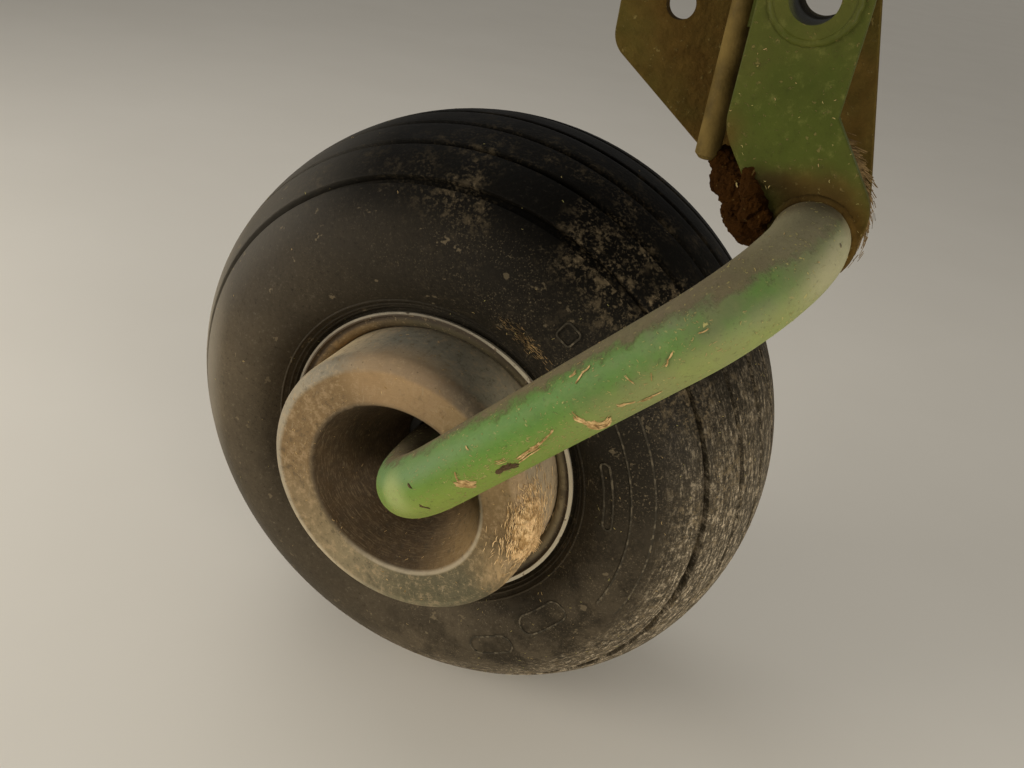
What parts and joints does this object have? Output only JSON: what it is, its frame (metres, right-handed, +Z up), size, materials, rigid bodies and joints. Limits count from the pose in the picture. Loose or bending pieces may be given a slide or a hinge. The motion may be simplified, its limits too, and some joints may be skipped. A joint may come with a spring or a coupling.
{
  "type": "hay tedder support wheel",
  "caption": "Ribbed pneumatic support wheel with a wrap guard, turning on a cranked tube leg welded into a two-cheek pivot bracket.",
  "frame": {"origin": "middle of the bracket's pivot bore", "axes": "+Z up, +Y along the wheel axis from the leg's side towards the machine, +X from the wheel towards the bracket"},
  "size_m": [0.4633, 0.2973, 0.6115],
  "materials": {
    "tyre": "worn black rubber with dust",
    "rim": "worn grey paint, bright lip, dust",
    "guard": "dusty grey brown",
    "wheel_centre": "dusty grey brown",
    "fastener": "dull zinc with rust",
    "leg_green": "green paint with dust and chips",
    "bracket_green": "olive green paint with mud",
    "bare_steel": "brown dusty steel",
    "valve": "black rubber"
  },
  "bodies": {
    "leg": {"crank_leg": "leg_green", "spindle": "bare_steel", "cheek_front": "bracket_green", "cheek_rear": "bracket_green", "cheek_web": "bracket_green", "pivot_bush": "bracket_green", "rod": "bare_steel"},
    "wheel": {"tyre": "tyre", "rim": "rim", "valve": "valve", "wheel_disc": "wheel_centre", "hub": "wheel_centre", "wheel_nuts": "fastener", "hub_cap": "wheel_centre", "wrap_guard": "guard"}
  },
  "joints": [
    {"name": "wheel_spin", "type": "hinge", "parent": "leg", "child": "wheel", "pos_m": [-0.176, 0.068, -0.345], "axis": [0, 1, 0], "continuous": true}
  ]
}
